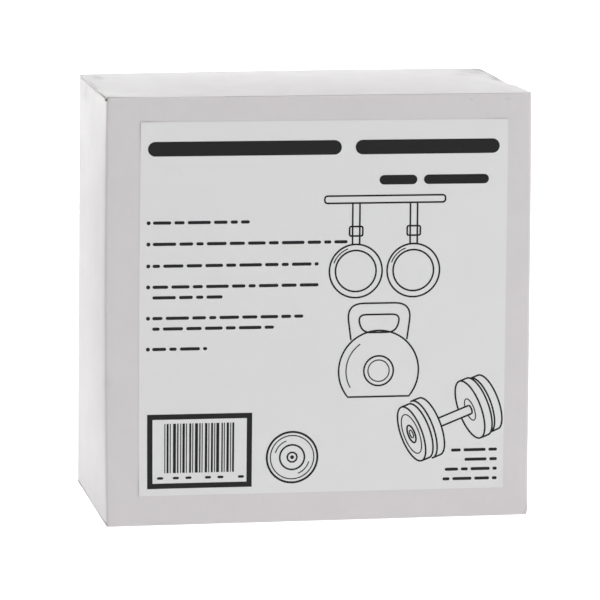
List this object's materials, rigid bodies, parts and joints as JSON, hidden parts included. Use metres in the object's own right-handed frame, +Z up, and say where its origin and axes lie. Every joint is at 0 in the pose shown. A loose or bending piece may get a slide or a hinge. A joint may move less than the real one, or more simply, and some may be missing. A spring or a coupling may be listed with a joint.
{
  "type": "boxed gymnastics chalk",
  "caption": "White tuck-end paperboard carton with a front label, hinged lid and base flaps, holding stacked paper-wrapped blocks of pressed gymnastics chalk.",
  "frame": {"origin": "centre of the carton's footprint, on the face it stands on", "axes": "+X to the right seen from the front, -Y out of the labelled front panel, +Z up"},
  "size_m": [0.1524, 0.0851, 0.1536],
  "materials": {
    "carton_board": "satin",
    "label_paper": "satin",
    "wrapping_paper": "matte",
    "pressed_chalk": "matte"
  },
  "bodies": {
    "carton": {"front_panel": "carton_board", "left_panel": "carton_board", "back_panel": "carton_board", "right_panel": "carton_board", "glue_flap": "carton_board", "front_label": "label_paper", "chalk_block_1": "pressed_chalk", "block_wrapper_1": "wrapping_paper", "chalk_block_2": "pressed_chalk", "block_wrapper_2": "wrapping_paper", "chalk_block_3": "pressed_chalk", "block_wrapper_3": "wrapping_paper", "chalk_block_4": "pressed_chalk", "block_wrapper_4": "wrapping_paper"},
    "lid": {"top_lid": "carton_board"},
    "lid_tuck": {"top_tuck_flap": "carton_board"},
    "top_dust_left": {"top_dust_flap_left": "carton_board"},
    "top_dust_right": {"top_dust_flap_right": "carton_board"},
    "base_flap": {"bottom_panel": "carton_board"},
    "base_tuck": {"bottom_tuck_flap": "carton_board"},
    "bottom_dust_left": {"bottom_dust_flap_left": "carton_board"},
    "bottom_dust_right": {"bottom_dust_flap_right": "carton_board"},
    "top_front_left_block": {"chalk_block_5": "pressed_chalk", "block_wrapper_5": "wrapping_paper"},
    "top_front_right_block": {"chalk_block_6": "pressed_chalk", "block_wrapper_6": "wrapping_paper"},
    "top_back_left_block": {"chalk_block_7": "pressed_chalk", "block_wrapper_7": "wrapping_paper"},
    "top_back_right_block": {"chalk_block_8": "pressed_chalk", "block_wrapper_8": "wrapping_paper"}
  },
  "joints": [
    {"name": "lid_hinge", "type": "hinge", "parent": "carton", "child": "lid", "pos_m": [0, 0.0425, 0.1536], "axis": [-1, 0, 0], "range_deg": [0, 175]},
    {"name": "lid_tuck_fold", "type": "hinge", "parent": "lid", "child": "lid_tuck", "pos_m": [0, -0.04175, 0.1536], "axis": [-1, 0, 0], "range_deg": [0, 42]},
    {"name": "top_dust_left_fold", "type": "hinge", "parent": "carton", "child": "top_dust_left", "pos_m": [-0.0762, 0, 0.1529], "axis": [0, -1, 0], "range_deg": [0, 122.5]},
    {"name": "top_dust_right_fold", "type": "hinge", "parent": "carton", "child": "top_dust_right", "pos_m": [0.0762, 0, 0.1529], "axis": [0, 1, 0], "range_deg": [0, 122.5]},
    {"name": "base_hinge", "type": "hinge", "parent": "carton", "child": "base_flap", "pos_m": [0, 0.0425, 0], "axis": [1, 0, 0], "range_deg": [0, 175]},
    {"name": "base_tuck_fold", "type": "hinge", "parent": "base_flap", "child": "base_tuck", "pos_m": [0, -0.04175, 0], "axis": [1, 0, 0], "range_deg": [0, 42]},
    {"name": "bottom_dust_left_fold", "type": "hinge", "parent": "carton", "child": "bottom_dust_left", "pos_m": [-0.0762, 0, 0.0007], "axis": [0, 1, 0], "range_deg": [0, 122.5]},
    {"name": "bottom_dust_right_fold", "type": "hinge", "parent": "carton", "child": "bottom_dust_right", "pos_m": [0.0762, 0, 0.0007], "axis": [0, -1, 0], "range_deg": [0, 122.5]},
    {"name": "top_front_left_lift", "type": "slide", "parent": "carton", "child": "top_front_left_block", "axis": [0, 0, 1], "range_m": [0, 0.0075]},
    {"name": "top_front_right_lift", "type": "slide", "parent": "carton", "child": "top_front_right_block", "axis": [0, 0, 1], "range_m": [0, 0.0075]},
    {"name": "top_back_left_lift", "type": "slide", "parent": "carton", "child": "top_back_left_block", "axis": [0, 0, 1], "range_m": [0, 0.0075]},
    {"name": "top_back_right_lift", "type": "slide", "parent": "carton", "child": "top_back_right_block", "axis": [0, 0, 1], "range_m": [0, 0.0075]}
  ],
  "couplings": [
    {"joint": "lid_tuck_fold", "follows": "lid_hinge", "ratio": 0.24},
    {"joint": "top_dust_left_fold", "follows": "lid_hinge", "ratio": 0.7},
    {"joint": "top_dust_right_fold", "follows": "lid_hinge", "ratio": 0.7},
    {"joint": "base_tuck_fold", "follows": "base_hinge", "ratio": 0.24},
    {"joint": "bottom_dust_left_fold", "follows": "base_hinge", "ratio": 0.7},
    {"joint": "bottom_dust_right_fold", "follows": "base_hinge", "ratio": 0.7}
  ]
}
